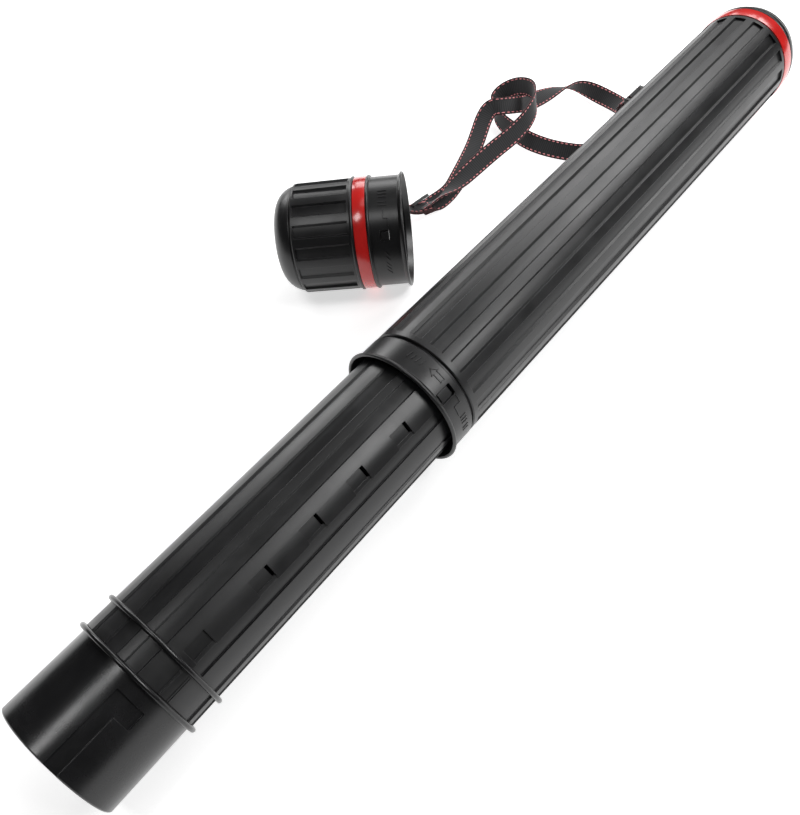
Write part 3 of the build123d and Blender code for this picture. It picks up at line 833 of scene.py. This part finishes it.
class DRAWTUBE_OT_collar(bpy.types.Operator):
    """Finish the collar and its lock, and raise its marks"""

    bl_idname = "drawtube.collar"
    bl_label = "Collar"

    def execute(self, context):
        look = context.scene.tube_finishes
        black = plastic("Collar Black", look.black, 0.34, 0.18, scale=2200.0)
        finish_nodes(black, "mouth_collar", "lock_key")
        arrow = [[
            (298.5, 9), (302, 9), (302, 0), (303.4, 0), (300.2, -5.2), (297, 0), (298.5, 0),
            (298.5, 9),
        ]]
        ticks = [
            [(297.4 + 0.3 * (k % 2), a), (301.8, a + 1.0)]
            for k, a in enumerate((-27, -22.6, -18.2, -13.8))
        ]
        corner = [[(296.2, 42), (296.2, 33), (301.6, 33), (301.6, 25.6)]]
        more = [[(297.2, a), (301.8, a)] for a in (46, 49.6, 53.2, 59, 62.6)]
        strokes = from_lock(arrow + ticks + corner + more)
        raised_lines("collar_marks", TUBE, COLLAR_R, strokes, black, "outer")
        return {"FINISHED"}


class DRAWTUBE_OT_closed_end(bpy.types.Operator):
    """Finish the closed end with its red ring, and the lug for the strap"""

    bl_idname = "drawtube.closed_end"
    bl_label = "Closed End"

    def execute(self, context):
        look = context.scene.tube_finishes
        finish_nodes(plastic("End Black", look.black, 0.30, 0.14), "closed_end")
        finish_nodes(plastic("Accent Red", look.red, 0.20, 0.05, coat=0.5), "end_accent_ring")
        finish_nodes(plastic("Lug Black", look.black, 0.42, 0.3), "tube_strap_lug", "cap_strap_lug")
        finish_nodes(plastic("Rivet Black", look.black, 0.25, 0.1), "tube_lug_rivets")
        return {"FINISHED"}


class DRAWTUBE_OT_cap(bpy.types.Operator):
    """Finish the cap with its red ring, and raise the marks on its skirt"""

    bl_idname = "drawtube.cap"
    bl_label = "Cap"

    def execute(self, context):
        look = context.scene.tube_finishes
        finish_nodes(plastic("Cap Black", look.black, 0.33, 0.16), "cap_crown")
        skirt = plastic("Skirt Black", look.black, 0.30, 0.14)
        finish_nodes(skirt, "cap_skirt", "cap_bayonet_key")
        finish_nodes(plastic("Accent Red", look.red, 0.20, 0.05, coat=0.5), "cap_accent_ring")
        ticks = [[(12.8, a), (18.6, a)] for a in (66, 70, 76, 80, 84)]
        corner = [[(15.6, 62), (15.6, 52), (12.2, 52), (12.2, 44.6)]]
        slashes = [[(16.4, a), (13.6, a - 4.4)] for a in (18, 13, 6, 1, -4)]
        strokes = ticks + corner + slashes
        raised_lines("skirt_marks", CAP, SKIRT_R, strokes, skirt, "cap")
        return {"FINISHED"}


class DRAWTUBE_PT_panel(bpy.types.Panel):
    """Steps that finish the drawing tube"""

    bl_label = "Drawing Tube"
    bl_idname = "DRAWTUBE_PT_panel"
    bl_space_type = "VIEW_3D"
    bl_region_type = "UI"
    bl_category = "Drawing Tube"

    def draw(self, context):
        for step in STEPS:
            self.layout.operator(step.bl_idname)
        for name in GROUPS:
            settings = getattr(context.scene, name)
            column = self.layout.column(align=True)
            for key in settings.__annotations__:
                column.prop(settings, key)


STEPS = (
    DRAWTUBE_OT_stage, DRAWTUBE_OT_strap, DRAWTUBE_OT_tubes, DRAWTUBE_OT_neck,
    DRAWTUBE_OT_collar, DRAWTUBE_OT_closed_end, DRAWTUBE_OT_cap,
)
GROUPS = {
    "tube_finishes": TubeFinishes, "tube_strap": TubeStrap,
    "tube_marks": TubeMarks, "tube_stage": TubeStage,
}


def register():
    for group in GROUPS.values():
        bpy.utils.register_class(group)
    for name, group in GROUPS.items():
        setattr(bpy.types.Scene, name, bpy.props.PointerProperty(type=group))
    for item in (*STEPS, DRAWTUBE_PT_panel):
        bpy.utils.register_class(item)


def unregister():
    for item in (DRAWTUBE_PT_panel, *reversed(STEPS)):
        bpy.utils.unregister_class(item)
    for name, group in GROUPS.items():
        delattr(bpy.types.Scene, name)
        bpy.utils.unregister_class(group)


def main():
    register()
    for step in STEPS:
        family, action = step.bl_idname.split(".")
        getattr(getattr(bpy.ops, family), action)()


if __name__ == "__main__":
    main()
